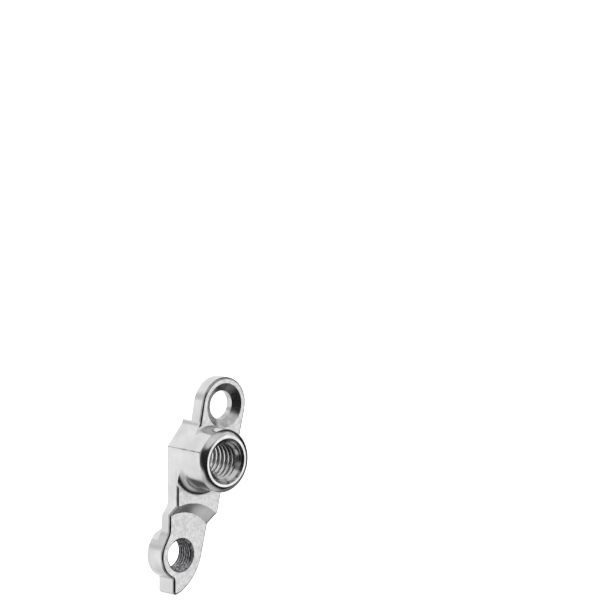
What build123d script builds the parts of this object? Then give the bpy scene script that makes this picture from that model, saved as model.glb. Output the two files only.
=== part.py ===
from build123d import *
from math import asin, atan2, cos, degrees, hypot, radians, sin, sqrt, tan
import os

# A rear derailleur hanger: one solid of forged aluminium with machined faces, bores and edges.
# X runs towards the front of the bicycle, Y runs inboard towards the wheel and Z runs up.
# The origin is on the axis of the axle thread, in the plane of the seat that rests on the frame.
# All sizes are in millimetres. A size that ends in _out is measured outboard from the seat.

# Axle boss
boss_r = 9.4
boss_out = 15.7
nose_ring_r = 7.6
nose_fall = 1.45
nose_round_r = 3.0
nose_skirt_slope = 0.2
axle_minor_r = 5.05
axle_lead_in = 1.6
axle_back_chamfer = 0.4
body_corner_turn = 42.3

# Ear for the fixing bolt
ear_x = 6.0
ear_z = 14.95
ear_r = 8.45
ear_thick = 4.2
ear_back_out = 3.7
ear_lean = 11.0
ear_root_r = 3.5
ear_relief_r = 10.1
bolt_hole_r = 4.3
bolt_back_chamfer = 0.5
bolt_seat_r = 6.7
bolt_seat_depth = 1.6

# Arm
arm_thick = 4.4
root_r = 2.7
ear_face_root_r = 0.9

# Lug that carries the derailleur
lug_x = -5.05
lug_z = -29.5
lug_r = 7.4
lug_front_extra = 0.95
lug_thick = 6.8
pad_proud = 0.1
lug_face_out = 0.95
neck_thick = 3.7
neck_root_r = 5.0
neck_spread = 30.0
lug_minor_r = 4.46
lug_mouth_chamfer = 0.75

# Round clearance cut in front of the lug, with a ramp up to the arm
clearance_r = 12.75
ramp_width = 3.2

# Joggle at the back of the neck
joggle_z = -13.9
joggle_run = 3.7
joggle_blend_r = 4.0

# Stop tab below the lug
stop_x = -7.8
tab_drop = 11.9
belly_start_drop = 1.5
belly_pull = 0.5
stop_root_r = 0.9
tab_corner_r = 1.0

# Broken edges, and how deep a piece that is added is let into the piece that carries it
front_edge_r = 0.75
pad_edge_r = 0.3
crease_r = 0.5
root_bed = 0.5
boss_bed = 1.0

# Values that follow from the sizes above
rear_wall_x = -boss_r
ear_front_out = ear_back_out + ear_thick
lug_front_reach = lug_r + lug_front_extra
pad_r = lug_r + pad_proud
lug_back_y = lug_thick - lug_face_out
neck_back_y = neck_thick - lug_face_out
tab_z = lug_z - tab_drop
bolt_seat_rise = bolt_seat_r - bolt_hole_r

# How far a cutter runs past what it cuts, across the whole part and just past a face
far = 60.0
past = 1.0


def at_y(y):
    """The X-Z plane at a given Y, with its normal pointing outboard."""
    return Plane(origin=(0, y, 0), x_dir=(1, 0, 0), z_dir=(0, -1, 0))


def prism(face, y_in, out):
    """A face drawn in X and Z, as a solid from y_in inboard to out outboard of the seat."""
    return extrude(at_y(y_in) * face, amount=y_in + out)


def disc(x, z, radius):
    """A round face in X and Z."""
    return Pos(x, z) * Circle(radius)


def turned(face, x, z):
    """A profile of radius and outboard reach, turned about an axis along Y through x and z."""
    profile = Plane(origin=(x, 0, z), x_dir=(1, 0, 0), z_dir=(0, 0, -1)) * face
    return revolve(profile, Axis((x, 0, z), (0, 1, 0)), 360)


# The front wall is one straight flank, which starts tangent to the ear's round.
span_x = ear_x - lug_x
span_z = ear_z - lug_z
flank_turn = atan2(span_z, span_x) - radians(90) - asin((ear_r - lug_front_reach) / hypot(span_x, span_z))
flank_n = (cos(flank_turn), sin(flank_turn))
flank_up = (-flank_n[1], flank_n[0])
flank_reach = flank_n[0] * lug_x + flank_n[1] * lug_z + lug_front_reach

# The tab's belly leaves the flank beside the lug's bore and is level where it meets the stop.
belly_z = lug_z - belly_start_drop
belly_start = ((flank_reach - flank_n[1] * belly_z) / flank_n[0], belly_z)
belly_end = (stop_x, tab_z)
belly_fall = (belly_z - tab_z) / flank_up[1]
belly_run = belly_start[0] - flank_up[0] * belly_fall - stop_x
belly_pole_1 = (belly_start[0] - belly_pull * belly_fall * flank_up[0],
                belly_start[1] - belly_pull * belly_fall * flank_up[1])
belly_pole_2 = (stop_x + belly_pull * belly_run, tab_z)

# The rear wall turns at the body's corner onto a shoulder, which runs up to the ear's rear flank.
corner = (rear_wall_x, boss_r * tan(radians(body_corner_turn / 2)))
shoulder_dir = (sin(radians(body_corner_turn)), cos(radians(body_corner_turn)))
ear_rear = (ear_x - ear_r * cos(radians(ear_lean)), ear_z + ear_r * sin(radians(ear_lean)))
flank_dir = (-sin(radians(ear_lean)), -cos(radians(ear_lean)))
gap_x = ear_rear[0] - corner[0]
gap_z = ear_rear[1] - corner[1]
cross = shoulder_dir[0] * flank_dir[1] - shoulder_dir[1] * flank_dir[0]
reach = (gap_x * flank_dir[1] - gap_z * flank_dir[0]) / cross
ear_foot = (corner[0] + reach * shoulder_dir[0], corner[1] + reach * shoulder_dir[1])

ear_front_tangent = (ear_x + ear_r * flank_n[0], ear_z + ear_r * flank_n[1])
stop_top = (stop_x, lug_z - sqrt(lug_r ** 2 - (stop_x - lug_x) ** 2))

# Below the neck the rear wall spreads in a straight run, tangent to the lug's round.
spread = radians(neck_spread)
lug_tangent = (lug_x - lug_r * cos(spread), lug_z + lug_r * sin(spread))
neck_foot = (rear_wall_x, lug_tangent[1] + (rear_wall_x - lug_tangent[0]) / tan(spread))


def outline():
    """The hanger's front view, as one face in X and Z."""
    edges = [
        Line(ear_front_tangent, belly_start),
        Bezier(belly_start, belly_pole_1, belly_pole_2, belly_end),
        Line(belly_end, stop_top),
        ThreePointArc(stop_top, (lug_x - lug_r, lug_z), lug_tangent),
        Line(lug_tangent, neck_foot),
        Line(neck_foot, corner),
        Line(corner, ear_foot),
        Line(ear_foot, ear_rear),
        ThreePointArc(ear_rear, (ear_x, ear_z + ear_r), ear_front_tangent),
    ]
    face = make_face(edges)
    rounds = [(neck_foot, neck_root_r), (ear_foot, ear_root_r), (stop_top, stop_root_r)]
    rounds += [((stop_x, tab_z), tab_corner_r), (corner, crease_r)]
    for point, radius in rounds:
        near = face.vertices().sort_by_distance((point[0], point[1], 0))[0]
        face = fillet(near, radius)
    return face


front_view = outline()


def half_view(px, pz, side):
    """The half of the X-Z plane that lies above (+1) or below (-1) a line square to the flank."""
    middle = (px + side * flank_up[0] * far / 2, pz + side * flank_up[1] * far / 2)
    return Pos(*middle) * Rot(0, 0, degrees(flank_turn)) * Rectangle(2 * far, far)


def boss_view():
    """The boss's round with the body's corner on its upper rear side."""
    tangent_at = radians(180 - body_corner_turn)
    tip = (boss_r * cos(tangent_at), boss_r * sin(tangent_at))
    wedge = make_face(Polyline((0, 0), (rear_wall_x, 0), corner, tip, close=True))
    near = wedge.vertices().sort_by_distance((corner[0], corner[1], 0))[0]
    return Circle(boss_r) + fillet(near, crease_r)


def root_flare(radius, base_out, side):
    """The turned blend between the boss and the face above (+1) or below (-1) it."""
    outer = boss_r + radius
    inner = boss_r - root_bed
    low = base_out - root_bed
    half = radius * (1 - sin(radians(45)))
    arc = ThreePointArc((boss_r, base_out + radius), (boss_r + half, base_out + half), (outer, base_out))
    edges = [arc, Polyline((outer, base_out), (outer, low), (inner, low), (inner, base_out + radius),
                           (boss_r, base_out + radius))]
    view = front_view & half_view(0, 0, side)
    return turned(make_face(edges), 0, 0) & prism(view, 0, base_out + radius)


def ear_relief():
    """The round step behind the ear, which leaves the body deeper than the ear."""
    return prism(disc(ear_x, ear_z, ear_relief_r) - boss_view(), far, ear_back_out)


def arm_relief():
    """What is cut away in front of the arm, below the axle."""
    return prism(half_view(0, 0, -1), -arm_thick, far)


def lug_clearance():
    """The round clearance in front of the lug, with its ramp."""
    outer = clearance_r + ramp_width
    slope = (arm_thick - lug_face_out) / ramp_width
    face = make_face(Polyline((0, lug_face_out), (clearance_r, lug_face_out), (outer, arm_thick),
                              (outer + ramp_width, arm_thick + slope * ramp_width),
                              (0, arm_thick + slope * ramp_width), close=True))
    return turned(face, lug_x, lug_z)


def back_relief():
    """What is cut away behind the seat, the joggle and the neck, all but the lug's pad."""
    low_z = joggle_z - joggle_run
    path = [(far, 0), (joggle_z, 0), (low_z, neck_back_y), (-far, neck_back_y), (-far, far), (far, far)]
    side = Plane(origin=(-far, 0, 0), x_dir=(0, 0, 1), z_dir=(1, 0, 0))
    profile = make_face(Polyline(*[(z, -y) for z, y in path], close=True))
    for z, y in ((joggle_z, 0), (low_z, neck_back_y)):
        near = profile.vertices().sort_by_distance((z, -y, 0))[0]
        profile = fillet(near, joggle_blend_r)
    pad = disc(lug_x, lug_z, pad_r) + half_view(lug_x, lug_z, -1)
    return extrude(side * profile, amount=2 * far) - prism(pad, far, far)


def boss():
    """The boss above its bed, its nose rounded off from the thread's ring out to its wall.

    Past the wall the cut falls gently, which leaves the body's corner with a crisp top edge.
    """
    wall_out = boss_out - nose_fall
    far_r = boss_r + root_r
    round_part = RadiusArc((nose_ring_r, boss_out), (boss_r, wall_out), nose_round_r)
    rest = Polyline((boss_r, wall_out), (far_r, wall_out - nose_skirt_slope * root_r),
                    (far_r, boss_out + past), (nose_ring_r, boss_out + past), (nose_ring_r, boss_out))
    return prism(boss_view(), -boss_bed, boss_out) - turned(make_face([round_part, rest]), 0, 0)


def bore(x, z, radius, low_out, high_out, low_chamfer, high_rise, high_depth):
    """What a through bore along Y takes out, with a chamfer at its inboard and outboard mouths."""
    low_r = radius + low_chamfer
    high_r = radius + high_rise
    face = make_face(Polyline((0, low_out - past), (low_r + past, low_out - past), (low_r, low_out),
                              (radius, low_out + low_chamfer), (radius, high_out - high_depth),
                              (high_r, high_out), (high_r, high_out + past), (0, high_out + past),
                              close=True))
    return turned(face, x, z)


def with_broken_rim(shape, faces, radius):
    """The shape with the outline edges of the given faces rounded."""
    rim = front_view.face().outer_wire()
    edges = []
    for face in faces:
        for edge in face.edges():
            middle = edge @ 0.5
            if rim.distance_to((middle.X, middle.Z, 0)) < 0.01:
                edges.append(edge)
    return fillet(edges, radius)


body = prism(front_view, lug_back_y, ear_front_out)
body -= arm_relief()
body -= lug_clearance()
body -= back_relief()
body -= ear_relief()
body = with_broken_rim(body, [f for f in body.faces() if f.normal_at().Y < -0.1], front_edge_r)
body = with_broken_rim(body, [body.faces().sort_by(Axis.Y)[-1]], pad_edge_r)

hanger = body + boss()
hanger += root_flare(root_r, arm_thick, -1)
hanger += root_flare(ear_face_root_r, ear_front_out, 1)
hanger -= bore(0, 0, axle_minor_r, 0, boss_out, axle_back_chamfer, axle_lead_in, axle_lead_in)
hanger -= bore(ear_x, ear_z, bolt_hole_r, ear_back_out, ear_front_out, bolt_back_chamfer,
               bolt_seat_rise, bolt_seat_depth)
hanger -= bore(lug_x, lug_z, lug_minor_r, -lug_back_y, lug_face_out, lug_mouth_chamfer,
               lug_mouth_chamfer, lug_mouth_chamfer)

os.makedirs("parts", exist_ok=True)
export_step(hanger, "parts/hanger.step")
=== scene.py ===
import math

import bmesh
import bpy
from mathutils import Matrix, Vector


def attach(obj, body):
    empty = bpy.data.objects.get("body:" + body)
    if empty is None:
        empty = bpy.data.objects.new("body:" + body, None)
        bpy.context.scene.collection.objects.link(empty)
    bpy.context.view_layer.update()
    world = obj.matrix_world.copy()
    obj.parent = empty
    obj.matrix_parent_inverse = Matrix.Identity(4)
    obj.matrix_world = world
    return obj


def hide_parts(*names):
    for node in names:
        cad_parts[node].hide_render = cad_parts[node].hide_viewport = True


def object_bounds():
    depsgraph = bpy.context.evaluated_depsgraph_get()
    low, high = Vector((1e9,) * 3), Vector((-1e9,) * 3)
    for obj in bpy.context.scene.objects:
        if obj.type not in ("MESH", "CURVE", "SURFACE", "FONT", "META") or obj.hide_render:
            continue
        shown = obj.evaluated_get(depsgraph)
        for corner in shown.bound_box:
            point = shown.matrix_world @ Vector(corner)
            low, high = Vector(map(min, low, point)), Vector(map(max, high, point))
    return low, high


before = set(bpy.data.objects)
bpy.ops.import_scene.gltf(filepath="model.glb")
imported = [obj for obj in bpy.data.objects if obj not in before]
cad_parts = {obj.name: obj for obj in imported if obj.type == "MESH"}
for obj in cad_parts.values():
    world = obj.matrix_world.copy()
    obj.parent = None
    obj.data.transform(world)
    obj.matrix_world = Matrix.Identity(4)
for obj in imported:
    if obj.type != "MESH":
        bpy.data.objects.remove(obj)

# A rear derailleur hanger, dressed: the solid from the frame gets its axle bore's mouth opened, its two
# threads cut and its finishes. X points to the front of the bicycle, Y inboard along the axle and Z up.
# Blender works in metres. Sizes here are in millimetres, times MM where they are used, unless they say so.

MM = 0.001
cad_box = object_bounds()

# Bores and threads, as on the solid
AXLE = {"x": 0.0, "z": 0.0, "minor_r": 5.05, "major_r": 6.0, "pitch": 1.75,
        "inboard_y": 0.0, "outboard_y": -15.7}
LUG = {"x": -5.05, "z": -29.5, "minor_r": 4.46, "major_r": 5.0, "pitch": 1.0,
       "inboard_y": 5.85, "outboard_y": -0.95}
EAR = {"x": 6.0, "z": 14.95, "seat_r": 6.7, "front_y": -7.9}

# Each groove is cut from this share of its pitch inside its bore's wall, out to the major radius, and this far
# past both ends of the bore. Its flanks stand 60 degrees apart, and its root is an eighth of its pitch wide.
GROOVE_START = 0.12
THREAD_RUN_PAST = 1.2
FLANKS_DEGREES = 60
ROOT_SHARE = 1 / 8
POINTS_PER_TURN = 72

# The cone that opens the axle bore's mouth through the ring, from its outboard end to its inboard one
MOUTH = {"outboard_y": -16.1, "outboard_r": 7.55, "inboard_y": -15.1, "inboard_r": 5.925}

# The nose's round, from the ring to the body's walls, which it meets at wall_y: nothing of it lies inboard of
# skirt_y. Its tilts are in degrees from straight outboard, and the normals of its faces have a Y part below
# facing. Towards the body's corner it reaches further, by a share that fades away from there as a power.
NOSE = {"ring_r": 7.6, "outer_r": 9.4, "wall_y": -14.25, "skirt_y": -14.0, "facing": -0.3,
        "ring_tilt": 16, "outer_tilt": 61, "corner_share": 0.8, "corner_power": 24}

# The crease at the body's corner, and how far round it its own faces lie
CORNER = {"x": -9.35, "z": 3.62, "round_r": 0.2}

# The ramp ahead of the lug: its radii about the lug's axis, its normal's part along Y and how far off that
# may be, and the least part of its normal that points to or from the lug's axis
RAMP = {"inner_r": 12.75, "outer_r": 15.95, "facing": -0.68, "slack": 0.02, "out_of_lug": 0.7}

# The blends at the drum's foot lie outboard of the arm's face below this height, and of the ear's above it
ARM_FRONT_Y = -4.4
BLENDS_PART_Z = 3

# So near the axle the broken edges run out into the drum, on faces that look less far outboard than this
RUN_OUT = {"r": 11.6, "facing": -0.4}

# What the Y part of a face's normal says: past FLAT_ON it lies flat, within WALL it is a wall along Y, and
# past BROKEN, outboard, it is a broken edge and no wall any more
FLAT_ON = 0.98
WALL = 0.1
BROKEN = -0.12
# How far past a bore's radius the middles of its faces may lie
BORE_SLACK = 0.1

# A flat region broader than this, in square millimetres, keeps its own normal, and a smaller one is a facet
# of a round
FLAT_AREA = 7.0
# How far off a region's plane its corners may lie, in metres
FLATNESS = 3e-6
# Faces that meet at more than this keep an edge between them
SHARP_DEGREES = 28
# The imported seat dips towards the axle's bore in broad facets, whose normals have a Y part between these:
# they are shaded as one round
SEAT_DIP = (0.97, 0.9999)
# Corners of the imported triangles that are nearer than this, in metres, are one
MERGE = 1e-7

# Colours are in sRGB. SHADED_METAL and the three greys below it are painted shade and painted dark reflection:
# they darken the bores, the countersunk seat, the broken edges and the crease.
BARE_METAL = "E4E4E4"
DULLED_METAL = "D6D6D7"
SHADED_METAL = "CACACC"
PAINTED_SHADE_METAL = "B8B8BA"
PAINTED_LINE_METAL = "868688"
PAINTED_DEEP_SHADE_METAL = "505052"
FLOOR_WHITE = "FFFFFF"

# A wave texture's rings stand this far apart at a scale of 1
WAVE_PERIOD = math.pi / 10
# Patches of wear are this many grains broad, and the noise that makes them lies nearly all between these
PATCH_GRAINS = 4
PATCH_RANGE = (0.35, 0.65)
# Where a Mix node has its factor, its two colours and its result
MIX_FACTOR, MIX_A, MIX_B, MIX_RESULT = 0, 6, 7, 2


def linear(hex_colour):
    """A hex sRGB colour as linear red, green, blue and alpha."""
    channels = [int(hex_colour[i:i + 2], 16) / 255 for i in (0, 2, 4)]
    return [c / 12.92 if c <= 0.04045 else ((c + 0.055) / 1.055) ** 2.4 for c in channels] + [1.0]


def add_node(tree, kind, settings=None, links=None):
    """A node of that kind in the tree, with its settings, and its inputs set or linked by name or place."""
    node = tree.nodes.new(kind)
    for name, value in (settings or {}).items():
        setattr(node, name, value)
    for name, value in (links or {}).items():
        if isinstance(value, bpy.types.NodeSocket):
            tree.links.new(value, node.inputs[name])
        else:
            node.inputs[name].default_value = value
    return node


def metal(name, roughness, grain, rings=None, axis=AXLE, colours=(BARE_METAL, DULLED_METAL)):
    """Bare aluminium of one finish: its roughness and colour where it is brightest and dullest, the width
    and depth of its grain, and, where a tool turned it, the spacing and depth of its rings about an axis
    along Y."""
    material = bpy.data.materials.new(name)
    material.use_nodes = True
    tree = material.node_tree
    tree.nodes.clear()
    place = add_node(tree, "ShaderNodeTexCoord").outputs["Object"]
    grain_mm, grain_depth_mm = grain
    pits = add_node(tree, "ShaderNodeTexNoise", links={
        "Vector": place, "Scale": 1 / (grain_mm * MM), "Detail": 3.0}).outputs["Fac"]
    surface = add_node(tree, "ShaderNodeBump", links={
        "Height": pits, "Distance": grain_depth_mm * MM, "Strength": 1.0}).outputs["Normal"]
    if rings:
        spacing_mm, ring_depth_mm = rings
        centred = add_node(tree, "ShaderNodeMapping", {"vector_type": "TEXTURE"}, {
            "Vector": place, "Location": (axis["x"] * MM, 0, axis["z"] * MM)}).outputs["Vector"]
        waves = add_node(tree, "ShaderNodeTexWave", {"wave_type": "RINGS", "rings_direction": "Y"}, {
            "Vector": centred, "Scale": WAVE_PERIOD / (spacing_mm * MM), "Distortion": 0.6,
            "Detail": 2.0, "Detail Scale": 1.0}).outputs["Fac"]
        surface = add_node(tree, "ShaderNodeBump", links={
            "Height": waves, "Distance": ring_depth_mm * MM, "Normal": surface}).outputs["Normal"]
    cloud = add_node(tree, "ShaderNodeTexNoise", links={
        "Vector": place, "Scale": 1 / (PATCH_GRAINS * grain_mm * MM), "Detail": 4.0}).outputs["Fac"]
    patches = add_node(tree, "ShaderNodeMapRange", links={
        "Value": cloud, "From Min": PATCH_RANGE[0], "From Max": PATCH_RANGE[1]}).outputs["Result"]
    dullness = add_node(tree, "ShaderNodeMapRange", links={
        "Value": patches, "To Min": roughness[0], "To Max": roughness[1]})
    colour = add_node(tree, "ShaderNodeMix", {"data_type": "RGBA"}, {
        MIX_FACTOR: patches, MIX_A: linear(colours[0]), MIX_B: linear(colours[1])})
    shader = add_node(tree, "ShaderNodeBsdfPrincipled", links={
        "Base Color": colour.outputs[MIX_RESULT], "Metallic": 1.0, "Roughness": dullness.outputs["Result"],
        "Normal": surface})
    add_node(tree, "ShaderNodeOutputMaterial", links={"Surface": shader.outputs["BSDF"]})
    return material


# Tumbled aluminium on the flat faces: an even, matt grain, drawn coarser than it is so that it shows
tumbled = metal("tumbled aluminium faces", roughness=(0.34, 0.46), grain=(0.17, 0.009))
# Milled walls: smoother, so they mirror the room softly
milled = metal("milled aluminium walls", roughness=(0.18, 0.26), grain=(1.6, 0.004))
# Broken edges, rubbed smooth by the tumbling stones and painted a darker grey: a painted dark reflection that
# draws the outline as a thin dark line
edges_painted_dark = metal("aluminium edges painted with a dark line", roughness=(0.11, 0.18), grain=(0.8, 0.002),
               colours=(PAINTED_SHADE_METAL, PAINTED_LINE_METAL))
# Turned nose: fine rings from the lathe tool, drawn three times as coarse as they are to show
turned = metal("turned aluminium nose", roughness=(0.16, 0.24), grain=(0.6, 0.003), rings=(0.35, 0.002))
# Bored lead-in behind the nose's ring: the same rings, darkened with painted shade
bored_and_shaded = metal("bored aluminium lead-in with painted shade", roughness=(0.22, 0.36), grain=(0.3, 0.005), rings=(0.35, 0.003),
              colours=(PAINTED_SHADE_METAL, PAINTED_DEEP_SHADE_METAL))
# Countersunk bolt seat: rings from the cutter, drawn coarser than they are to show, and a greyer colour that
# is painted shade in the recess
sunk = metal("countersunk aluminium seat", roughness=(0.2, 0.3), grain=(0.5, 0.006), rings=(0.4, 0.003),
             axis=EAR, colours=(DULLED_METAL, PAINTED_SHADE_METAL))
# The axle's thread: bright flanks, torn a little by the tap
tapped = metal("tapped aluminium threads", roughness=(0.16, 0.26), grain=(0.45, 0.005))
# The lug's thread: torn a little by the tap, and painted dark in random spots, a painted shade inside the
# bore, so that its turns hardly shine
torn_and_shaded = metal("torn aluminium lug thread with painted shade", roughness=(0.3, 0.5), grain=(0.16, 0.03),
             colours=(SHADED_METAL, PAINTED_DEEP_SHADE_METAL))
# The crease between the body's two walls: dull, and painted darker, a painted shade that draws a thin grey
# line
crease_painted_shade = metal("aluminium crease with painted shade", roughness=(0.3, 0.4), grain=(0.6, 0.004),
               colours=(SHADED_METAL, PAINTED_LINE_METAL))
FINISHES = (milled, tumbled, edges_painted_dark, turned, bored_and_shaded, sunk, tapped, torn_and_shaded, crease_painted_shade)
# The threads' material slots: a thread is never shaded as one with what lies beside it
THREADS = (FINISHES.index(tapped), FINISHES.index(torn_and_shaded))


def thread_tree():
    """Geometry Nodes: one helical groove, as a solid that a tap would sweep."""
    tree = bpy.data.node_groups.new("tapped groove", "GeometryNodeTree")
    for name, kind in (("Pitch", "NodeSocketFloat"), ("Inner radius", "NodeSocketFloat"),
                       ("Outer radius", "NodeSocketFloat"), ("Length", "NodeSocketFloat"),
                       ("Mouth width", "NodeSocketFloat"), ("Root width", "NodeSocketFloat"),
                       ("Points per turn", "NodeSocketInt"), ("Finish", "NodeSocketMaterial")):
        tree.interface.new_socket(name, in_out="INPUT", socket_type=kind)
    tree.interface.new_socket("Groove", in_out="OUTPUT", socket_type="NodeSocketGeometry")
    given = add_node(tree, "NodeGroupInput").outputs
    depth = add_node(tree, "ShaderNodeMath", {"operation": "SUBTRACT"}, {
        0: given["Outer radius"], 1: given["Inner radius"]}).outputs[0]
    middle = add_node(tree, "ShaderNodeMath", {"operation": "MULTIPLY_ADD"}, {
        0: depth, 1: 0.5, 2: given["Inner radius"]}).outputs[0]
    turns = add_node(tree, "ShaderNodeMath", {"operation": "DIVIDE"}, {
        0: given["Length"], 1: given["Pitch"]}).outputs[0]
    path = add_node(tree, "GeometryNodeCurveSpiral", links={
        "Resolution": given["Points per turn"], "Rotations": turns, "Start Radius": middle,
        "End Radius": middle, "Height": given["Length"]})
    level = add_node(tree, "GeometryNodeSetCurveNormal", {"mode": "Z_UP"}, {"Curve": path.outputs["Curve"]})
    tooth = add_node(tree, "GeometryNodeCurvePrimitiveQuadrilateral", {"mode": "TRAPEZOID"}, {
        "Bottom Width": given["Mouth width"], "Top Width": given["Root width"], "Offset": 0.0,
        "Height": depth})
    outwards = add_node(tree, "GeometryNodeTransform", links={
        "Geometry": tooth.outputs["Curve"], "Rotation": (0, 0, math.radians(90))})
    swept = add_node(tree, "GeometryNodeCurveToMesh", links={
        "Curve": level.outputs["Curve"], "Profile Curve": outwards.outputs["Geometry"], "Fill Caps": True})
    real = add_node(tree, "GeometryNodeRealizeInstances", links={"Geometry": swept.outputs["Mesh"]})
    dressed = add_node(tree, "GeometryNodeSetMaterial", links={
        "Geometry": real.outputs["Geometry"], "Material": given["Finish"]})
    add_node(tree, "NodeGroupOutput", links={"Groove": dressed.outputs["Geometry"]})
    return tree


def loose_object(name, data):
    """A new object for a mesh or a camera, in the scene."""
    obj = bpy.data.objects.new(name, data)
    bpy.context.scene.collection.objects.link(obj)
    return obj


def plain_mesh(obj, name):
    """The object as its modifiers leave it, as a plain mesh."""
    graph = bpy.context.evaluated_depsgraph_get()
    graph.update()
    mesh = bpy.data.meshes.new_from_object(
        obj.evaluated_get(graph), preserve_all_data_layers=True, depsgraph=graph)
    mesh.name = name
    return mesh


def thread_groove(tree, name, bore):
    """The groove of one thread, laid along its own bore."""
    pitch = bore["pitch"]
    inner_r = bore["minor_r"] - GROOVE_START * pitch
    root = ROOT_SHARE * pitch
    mouth = root + 2 * math.tan(math.radians(FLANKS_DEGREES / 2)) * (bore["major_r"] - inner_r)
    length = bore["inboard_y"] - bore["outboard_y"] + 2 * THREAD_RUN_PAST
    sizes = {"Pitch": pitch * MM, "Inner radius": inner_r * MM, "Outer radius": bore["major_r"] * MM,
             "Length": length * MM, "Mouth width": mouth * MM, "Root width": root * MM,
             "Points per turn": POINTS_PER_TURN, "Finish": tapped}
    obj = loose_object(name, bpy.data.meshes.new(name))
    modifier = obj.modifiers.new("groove", "NODES")
    modifier.node_group = tree
    for socket in tree.interface.items_tree:
        if socket.in_out == "INPUT":
            modifier[socket.identifier] = sizes[socket.name]
    mesh = plain_mesh(obj, name)
    bpy.data.objects.remove(obj)
    # The spiral stands on its end, so it is laid along Y with its start outboard.
    start_y = (bore["outboard_y"] - THREAD_RUN_PAST) * MM
    for vertex in mesh.vertices:
        x, y, z = vertex.co
        vertex.co = (bore["x"] * MM + x, start_y + z, bore["z"] * MM - y)
    return mesh


def mouth_cone():
    """The tool that opens the axle bore's mouth."""
    middle = (MOUTH["outboard_y"] + MOUTH["inboard_y"]) / 2
    along_y = Matrix.Translation((0, middle * MM, 0)) @ Matrix.Rotation(math.radians(-90), 4, "X")
    tool = bmesh.new()
    bmesh.ops.create_cone(
        tool, cap_ends=True, segments=2 * POINTS_PER_TURN, radius1=MOUTH["outboard_r"] * MM,
        radius2=MOUTH["inboard_r"] * MM, depth=(MOUTH["inboard_y"] - MOUTH["outboard_y"]) * MM,
        matrix=along_y)
    mesh = bpy.data.meshes.new("mouth cone")
    tool.to_mesh(mesh)
    tool.free()
    return mesh


def threaded_hanger():
    """The hanger's solid with its mouth opened and both threads cut into its bores, as one plain mesh."""
    solid = bmesh.new()
    solid.from_mesh(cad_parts["hanger"].data)
    bmesh.ops.remove_doubles(solid, verts=solid.verts, dist=MERGE)
    mesh = bpy.data.meshes.new("hanger")
    solid.to_mesh(mesh)
    solid.free()
    obj = loose_object("threaded_hanger", mesh)
    tree = thread_tree()
    tools = [loose_object("mouth", mouth_cone())]
    tools += [loose_object(name, thread_groove(tree, name, bore))
              for name, bore in (("axle_groove", AXLE), ("lug_groove", LUG))]
    for tool in tools:
        cut = obj.modifiers.new(tool.name, "BOOLEAN")
        cut.operation = "DIFFERENCE"
        cut.solver = "EXACT"
        cut.object = tool
    obj.data = plain_mesh(obj, "threaded hanger")
    obj.modifiers.clear()
    for tool in tools:
        bpy.data.objects.remove(tool)
    return obj


def finish_of(face):
    """Which finish the surface that a face lies on was given: the lead-in, the lug's thread, the seat, the
    crease and the broken edges get painted shade.
    """
    x, y, z = face.center / MM
    facing = face.normal.y
    from_axle = math.hypot(x - AXLE["x"], z - AXLE["z"])
    from_lug = math.hypot(x - LUG["x"], z - LUG["z"])
    from_ear = math.hypot(x - EAR["x"], z - EAR["z"])
    from_crease = math.hypot(x - CORNER["x"], z - CORNER["z"])
    if facing > FLAT_ON or (facing < -FLAT_ON and y > NOSE["wall_y"]):
        return tumbled
    if from_axle < AXLE["major_r"] + BORE_SLACK:
        return tapped
    if from_lug < LUG["major_r"] + BORE_SLACK:
        return torn_and_shaded
    if from_crease < CORNER["round_r"] and abs(facing) < WALL:
        return crease_painted_shade
    if from_ear < EAR["seat_r"]:
        return sunk
    if from_axle < NOSE["ring_r"] and abs(facing) < FLAT_ON:
        return bored_and_shaded
    if y < NOSE["wall_y"]:
        return turned
    out_of_lug = abs(face.normal.x * (x - LUG["x"]) + face.normal.z * (z - LUG["z"])) / from_lug
    on_ramp = (RAMP["inner_r"] < from_lug < RAMP["outer_r"] and out_of_lug > RAMP["out_of_lug"]
               and abs(facing - RAMP["facing"]) < RAMP["slack"])
    on_blend = y < (ARM_FRONT_Y if z < BLENDS_PART_Z else EAR["front_y"])
    runs_out = from_axle < RUN_OUT["r"] and facing > RUN_OUT["facing"]
    if facing < BROKEN and not (on_ramp or on_blend or runs_out):
        return edges_painted_dark
    return milled


def nose_normal(face, place):
    """The normal at a place on the nose's round, or None off it. The round leaves the ring at an edge, and
    turns more slowly towards the body's corner."""
    x, y, z = face.calc_center_median() / MM
    if y > NOSE["skirt_y"] or face.normal.y > NOSE["facing"] or math.hypot(x, z) < NOSE["ring_r"]:
        return None
    outwards = Vector((place.x, 0, place.z)).normalized()
    corner = Vector((CORNER["x"], 0, CORNER["z"])).normalized()
    to_corner = max(0, outwards.dot(corner)) ** NOSE["corner_power"]
    reach = (NOSE["outer_r"] - NOSE["ring_r"]) * (1 + NOSE["corner_share"] * to_corner)
    share = min(1, (math.hypot(place.x, place.z) / MM - NOSE["ring_r"]) / reach)
    tilt = math.radians(NOSE["ring_tilt"] + share * (NOSE["outer_tilt"] - NOSE["ring_tilt"]))
    return outwards * math.sin(tilt) - Vector((0, math.cos(tilt), 0))


def lies_in_plane(face, seed):
    """Whether a face lies in the plane of another."""
    start = seed.verts[0].co
    return all(abs((vertex.co - start).dot(seed.normal)) < FLATNESS for vertex in face.verts)


def flat_regions(solid):
    """For each face, the normal and area of the flat region that it lies in."""
    region = {}
    for seed in sorted(solid.faces, key=lambda face: -face.calc_area()):
        if seed in region:
            continue
        group = [seed]
        taken = {seed}
        for face in group:
            for other in [other for edge in face.edges for other in edge.link_faces]:
                if other not in taken and other not in region and lies_in_plane(other, seed):
                    taken.add(other)
                    group.append(other)
        area = sum(face.calc_area() for face in group) / MM ** 2
        for face in group:
            region[face] = (seed.normal.copy(), area)
    return region


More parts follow.
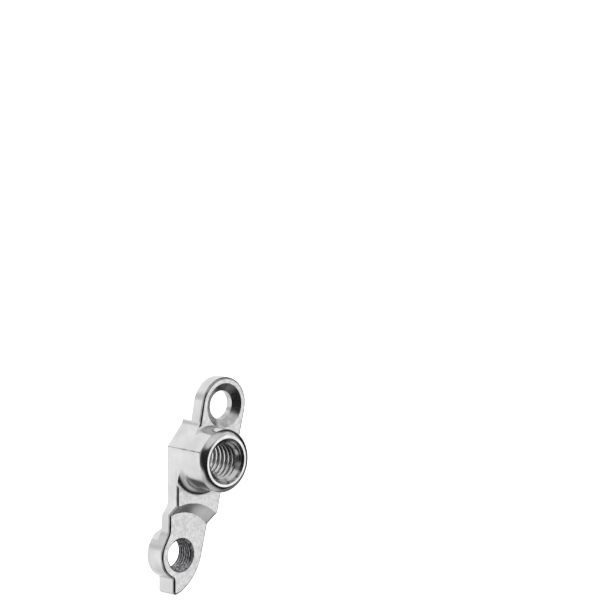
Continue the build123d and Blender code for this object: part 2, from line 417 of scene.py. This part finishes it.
def faces_run_into(face, vertex, region):
    """The faces at a vertex that a face runs into with no edge between, itself among them."""
    level = math.cos(math.radians(SHARP_DEGREES))
    own = region[face][0]
    threaded = face.material_index in THREADS
    fan = [face]
    for near in fan:
        for other in [other for edge in vertex.link_edges if edge in near.edges for other in edge.link_faces]:
            normal = region[other][0]
            smooth = normal.dot(region[near][0]) > level and normal.dot(own) > level
            if other not in fan and smooth and (other.material_index in THREADS) == threaded:
                fan.append(other)
    return fan


def mean_normal(fan, vertex, region):
    """The normals of some faces at a vertex, added up by each face's angle there."""
    total = Vector((0, 0, 0))
    for face in fan:
        angle = next(corner.calc_angle() for corner in face.loops if corner.vert == vertex)
        total += region[face][0] * angle
    return total


def smooth_normals(mesh):
    """Corner normals that keep every flat face flat, up to the rounds that run into it."""
    solid = bmesh.new()
    solid.from_mesh(mesh)
    solid.normal_update()
    region = flat_regions(solid)
    normals = []
    for face in solid.faces:
        for corner in face.loops:
            fan = faces_run_into(face, corner.vert, region)
            normal, area = max((region[item] for item in fan), key=lambda item: item[1])
            if area < FLAT_AREA or SEAT_DIP[0] < normal.y < SEAT_DIP[1]:
                normal = mean_normal(fan, corner.vert, region)
            normals.append(nose_normal(face, corner.vert.co) or normal.normalized())
    solid.free()
    mesh.shade_smooth()
    mesh.normals_split_custom_set(normals)


hanger = threaded_hanger()
hanger.data.materials.clear()
for finish in FINISHES:
    hanger.data.materials.append(finish)
for face in hanger.data.polygons:
    face.material_index = FINISHES.index(finish_of(face))
smooth_normals(hanger.data)
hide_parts("hanger")
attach(hanger, "root")

# The photograph's view: how many of its pixels a millimetre takes, and where the frame's origin is in it
PX_PER_MM = 3.39
FRAME_PX = 600
ORIGIN_PX = (191.5, 454.4)
AZIMUTH = math.radians(-42)
ELEVATION = math.radians(9.5)
LENS_MM = 600
SENSOR_MM = 36

# The room that the metal mirrors. Each screen or light is a soft-edged round on the sky: where it is seen,
# how many degrees from there it is whole over and gone by, and how bright it is. The rest is white.
SCREENS = {
    "floor cloth": ((0, 0, -1), 15, 60, 0.5),
    "black screen in front": ((0.55, -0.83, 0.12), 71, 97, 0.015),
    "black card on the left": ((-0.72, -0.62, -0.2), 12, 24, 0.05),
    "black card on the right": ((0.94, 0.32, -0.1), 10, 20, 0.05),
    "grey card low on the right": ((0.7, 0.3, -0.65), 20, 31, 0.27),
    "bar between ceiling and wall": ((-0.58, 0.73, 0.36), 5, 13, 0.6),
}
LIGHTS = {
    "glow from the floor": ((-0.05, 0.05, -1), 0, 45, 0.62),
    "light on the grey card": ((0.7, 0.2, -0.69), 18, 32, 0.2),
    "softbox": ((0.67, -0.74, -0.05), 24, 31, 1.2),
    "small softbox above it": ((0.75, -0.4, 0.52), 12, 24, 0.75),
    "lamp high on the left": ((0.05, -0.6, 0.8), 27, 38, 0.75),
}


def camera():
    """The photograph's view: a long lens a little above the part, from its rear and outboard side."""
    back = Vector((math.sin(AZIMUTH) * math.cos(ELEVATION), -math.cos(AZIMUTH) * math.cos(ELEVATION),
                   math.sin(ELEVATION)))
    right = Vector((math.cos(AZIMUTH), math.sin(AZIMUTH), 0))
    up = back.cross(right)
    across = (FRAME_PX / 2 - ORIGIN_PX[0]) / PX_PER_MM * MM
    above = (ORIGIN_PX[1] - FRAME_PX / 2) / PX_PER_MM * MM
    distance = FRAME_PX / PX_PER_MM * MM * LENS_MM / SENSOR_MM
    data = bpy.data.cameras.new("camera")
    data.lens = LENS_MM
    data.sensor_width = SENSOR_MM
    data.clip_start = 0.1
    data.clip_end = 100
    obj = loose_object("camera", data)
    obj.rotation_mode = "QUATERNION"
    obj.location = right * across + up * above + back * distance
    obj.rotation_quaternion = (-back).to_track_quat("-Z", "Y")
    bpy.context.scene.camera = obj


def floor():
    """A pale floor under the part's lowest point, which the camera sees and the metal doesn't mirror."""
    low_z = cad_box[0].z
    half = 4.0
    corners = [(-half, -half, low_z), (half, -half, low_z), (half, half, low_z), (-half, half, low_z)]
    mesh = bpy.data.meshes.new("floor")
    mesh.from_pydata(corners, [], [(0, 1, 2, 3)])
    obj = loose_object("floor", mesh)
    material = bpy.data.materials.new("pale floor")
    material.use_nodes = True
    tree = material.node_tree
    tree.nodes.clear()
    shader = add_node(tree, "ShaderNodeBsdfPrincipled", links={
        "Base Color": linear(FLOOR_WHITE), "Roughness": 0.9, "Emission Color": linear(FLOOR_WHITE),
        "Emission Strength": 0.75})
    add_node(tree, "ShaderNodeOutputMaterial", links={"Surface": shader.outputs["BSDF"]})
    mesh.materials.append(material)
    # The metal mirrors the room below it, not the lit floor.
    obj.visible_glossy = False
    obj.visible_diffuse = False


def room():
    """A white studio with a dark front, a dim floor and soft lights."""
    world = bpy.data.worlds.new("studio")
    bpy.context.scene.world = world
    world.use_nodes = True
    tree = world.node_tree
    tree.nodes.clear()
    toward = add_node(tree, "ShaderNodeTexCoord").outputs["Generated"]
    level = 1.0
    for rounds, blend, outside in ((SCREENS, "MULTIPLY", 1.0), (LIGHTS, "MAXIMUM", 0.0)):
        for direction, inner, outer, brightness in rounds.values():
            near = add_node(tree, "ShaderNodeVectorMath", {"operation": "DOT_PRODUCT"}, {
                0: toward, 1: Vector(direction).normalized()})
            shade = add_node(tree, "ShaderNodeMapRange", {"interpolation_type": "SMOOTHSTEP"}, {
                "Value": near.outputs["Value"], "From Min": math.cos(math.radians(outer)),
                "From Max": math.cos(math.radians(inner)), "To Min": outside, "To Max": brightness})
            level = add_node(tree, "ShaderNodeMath", {"operation": blend}, {
                0: level, 1: shade.outputs["Result"]}).outputs[0]
    light = add_node(tree, "ShaderNodeBackground", links={"Color": (1, 1, 1, 1), "Strength": level})
    add_node(tree, "ShaderNodeOutputWorld", links={"Surface": light.outputs["Background"]})


camera()
floor()
room()
bpy.context.scene.view_settings.view_transform = "Standard"
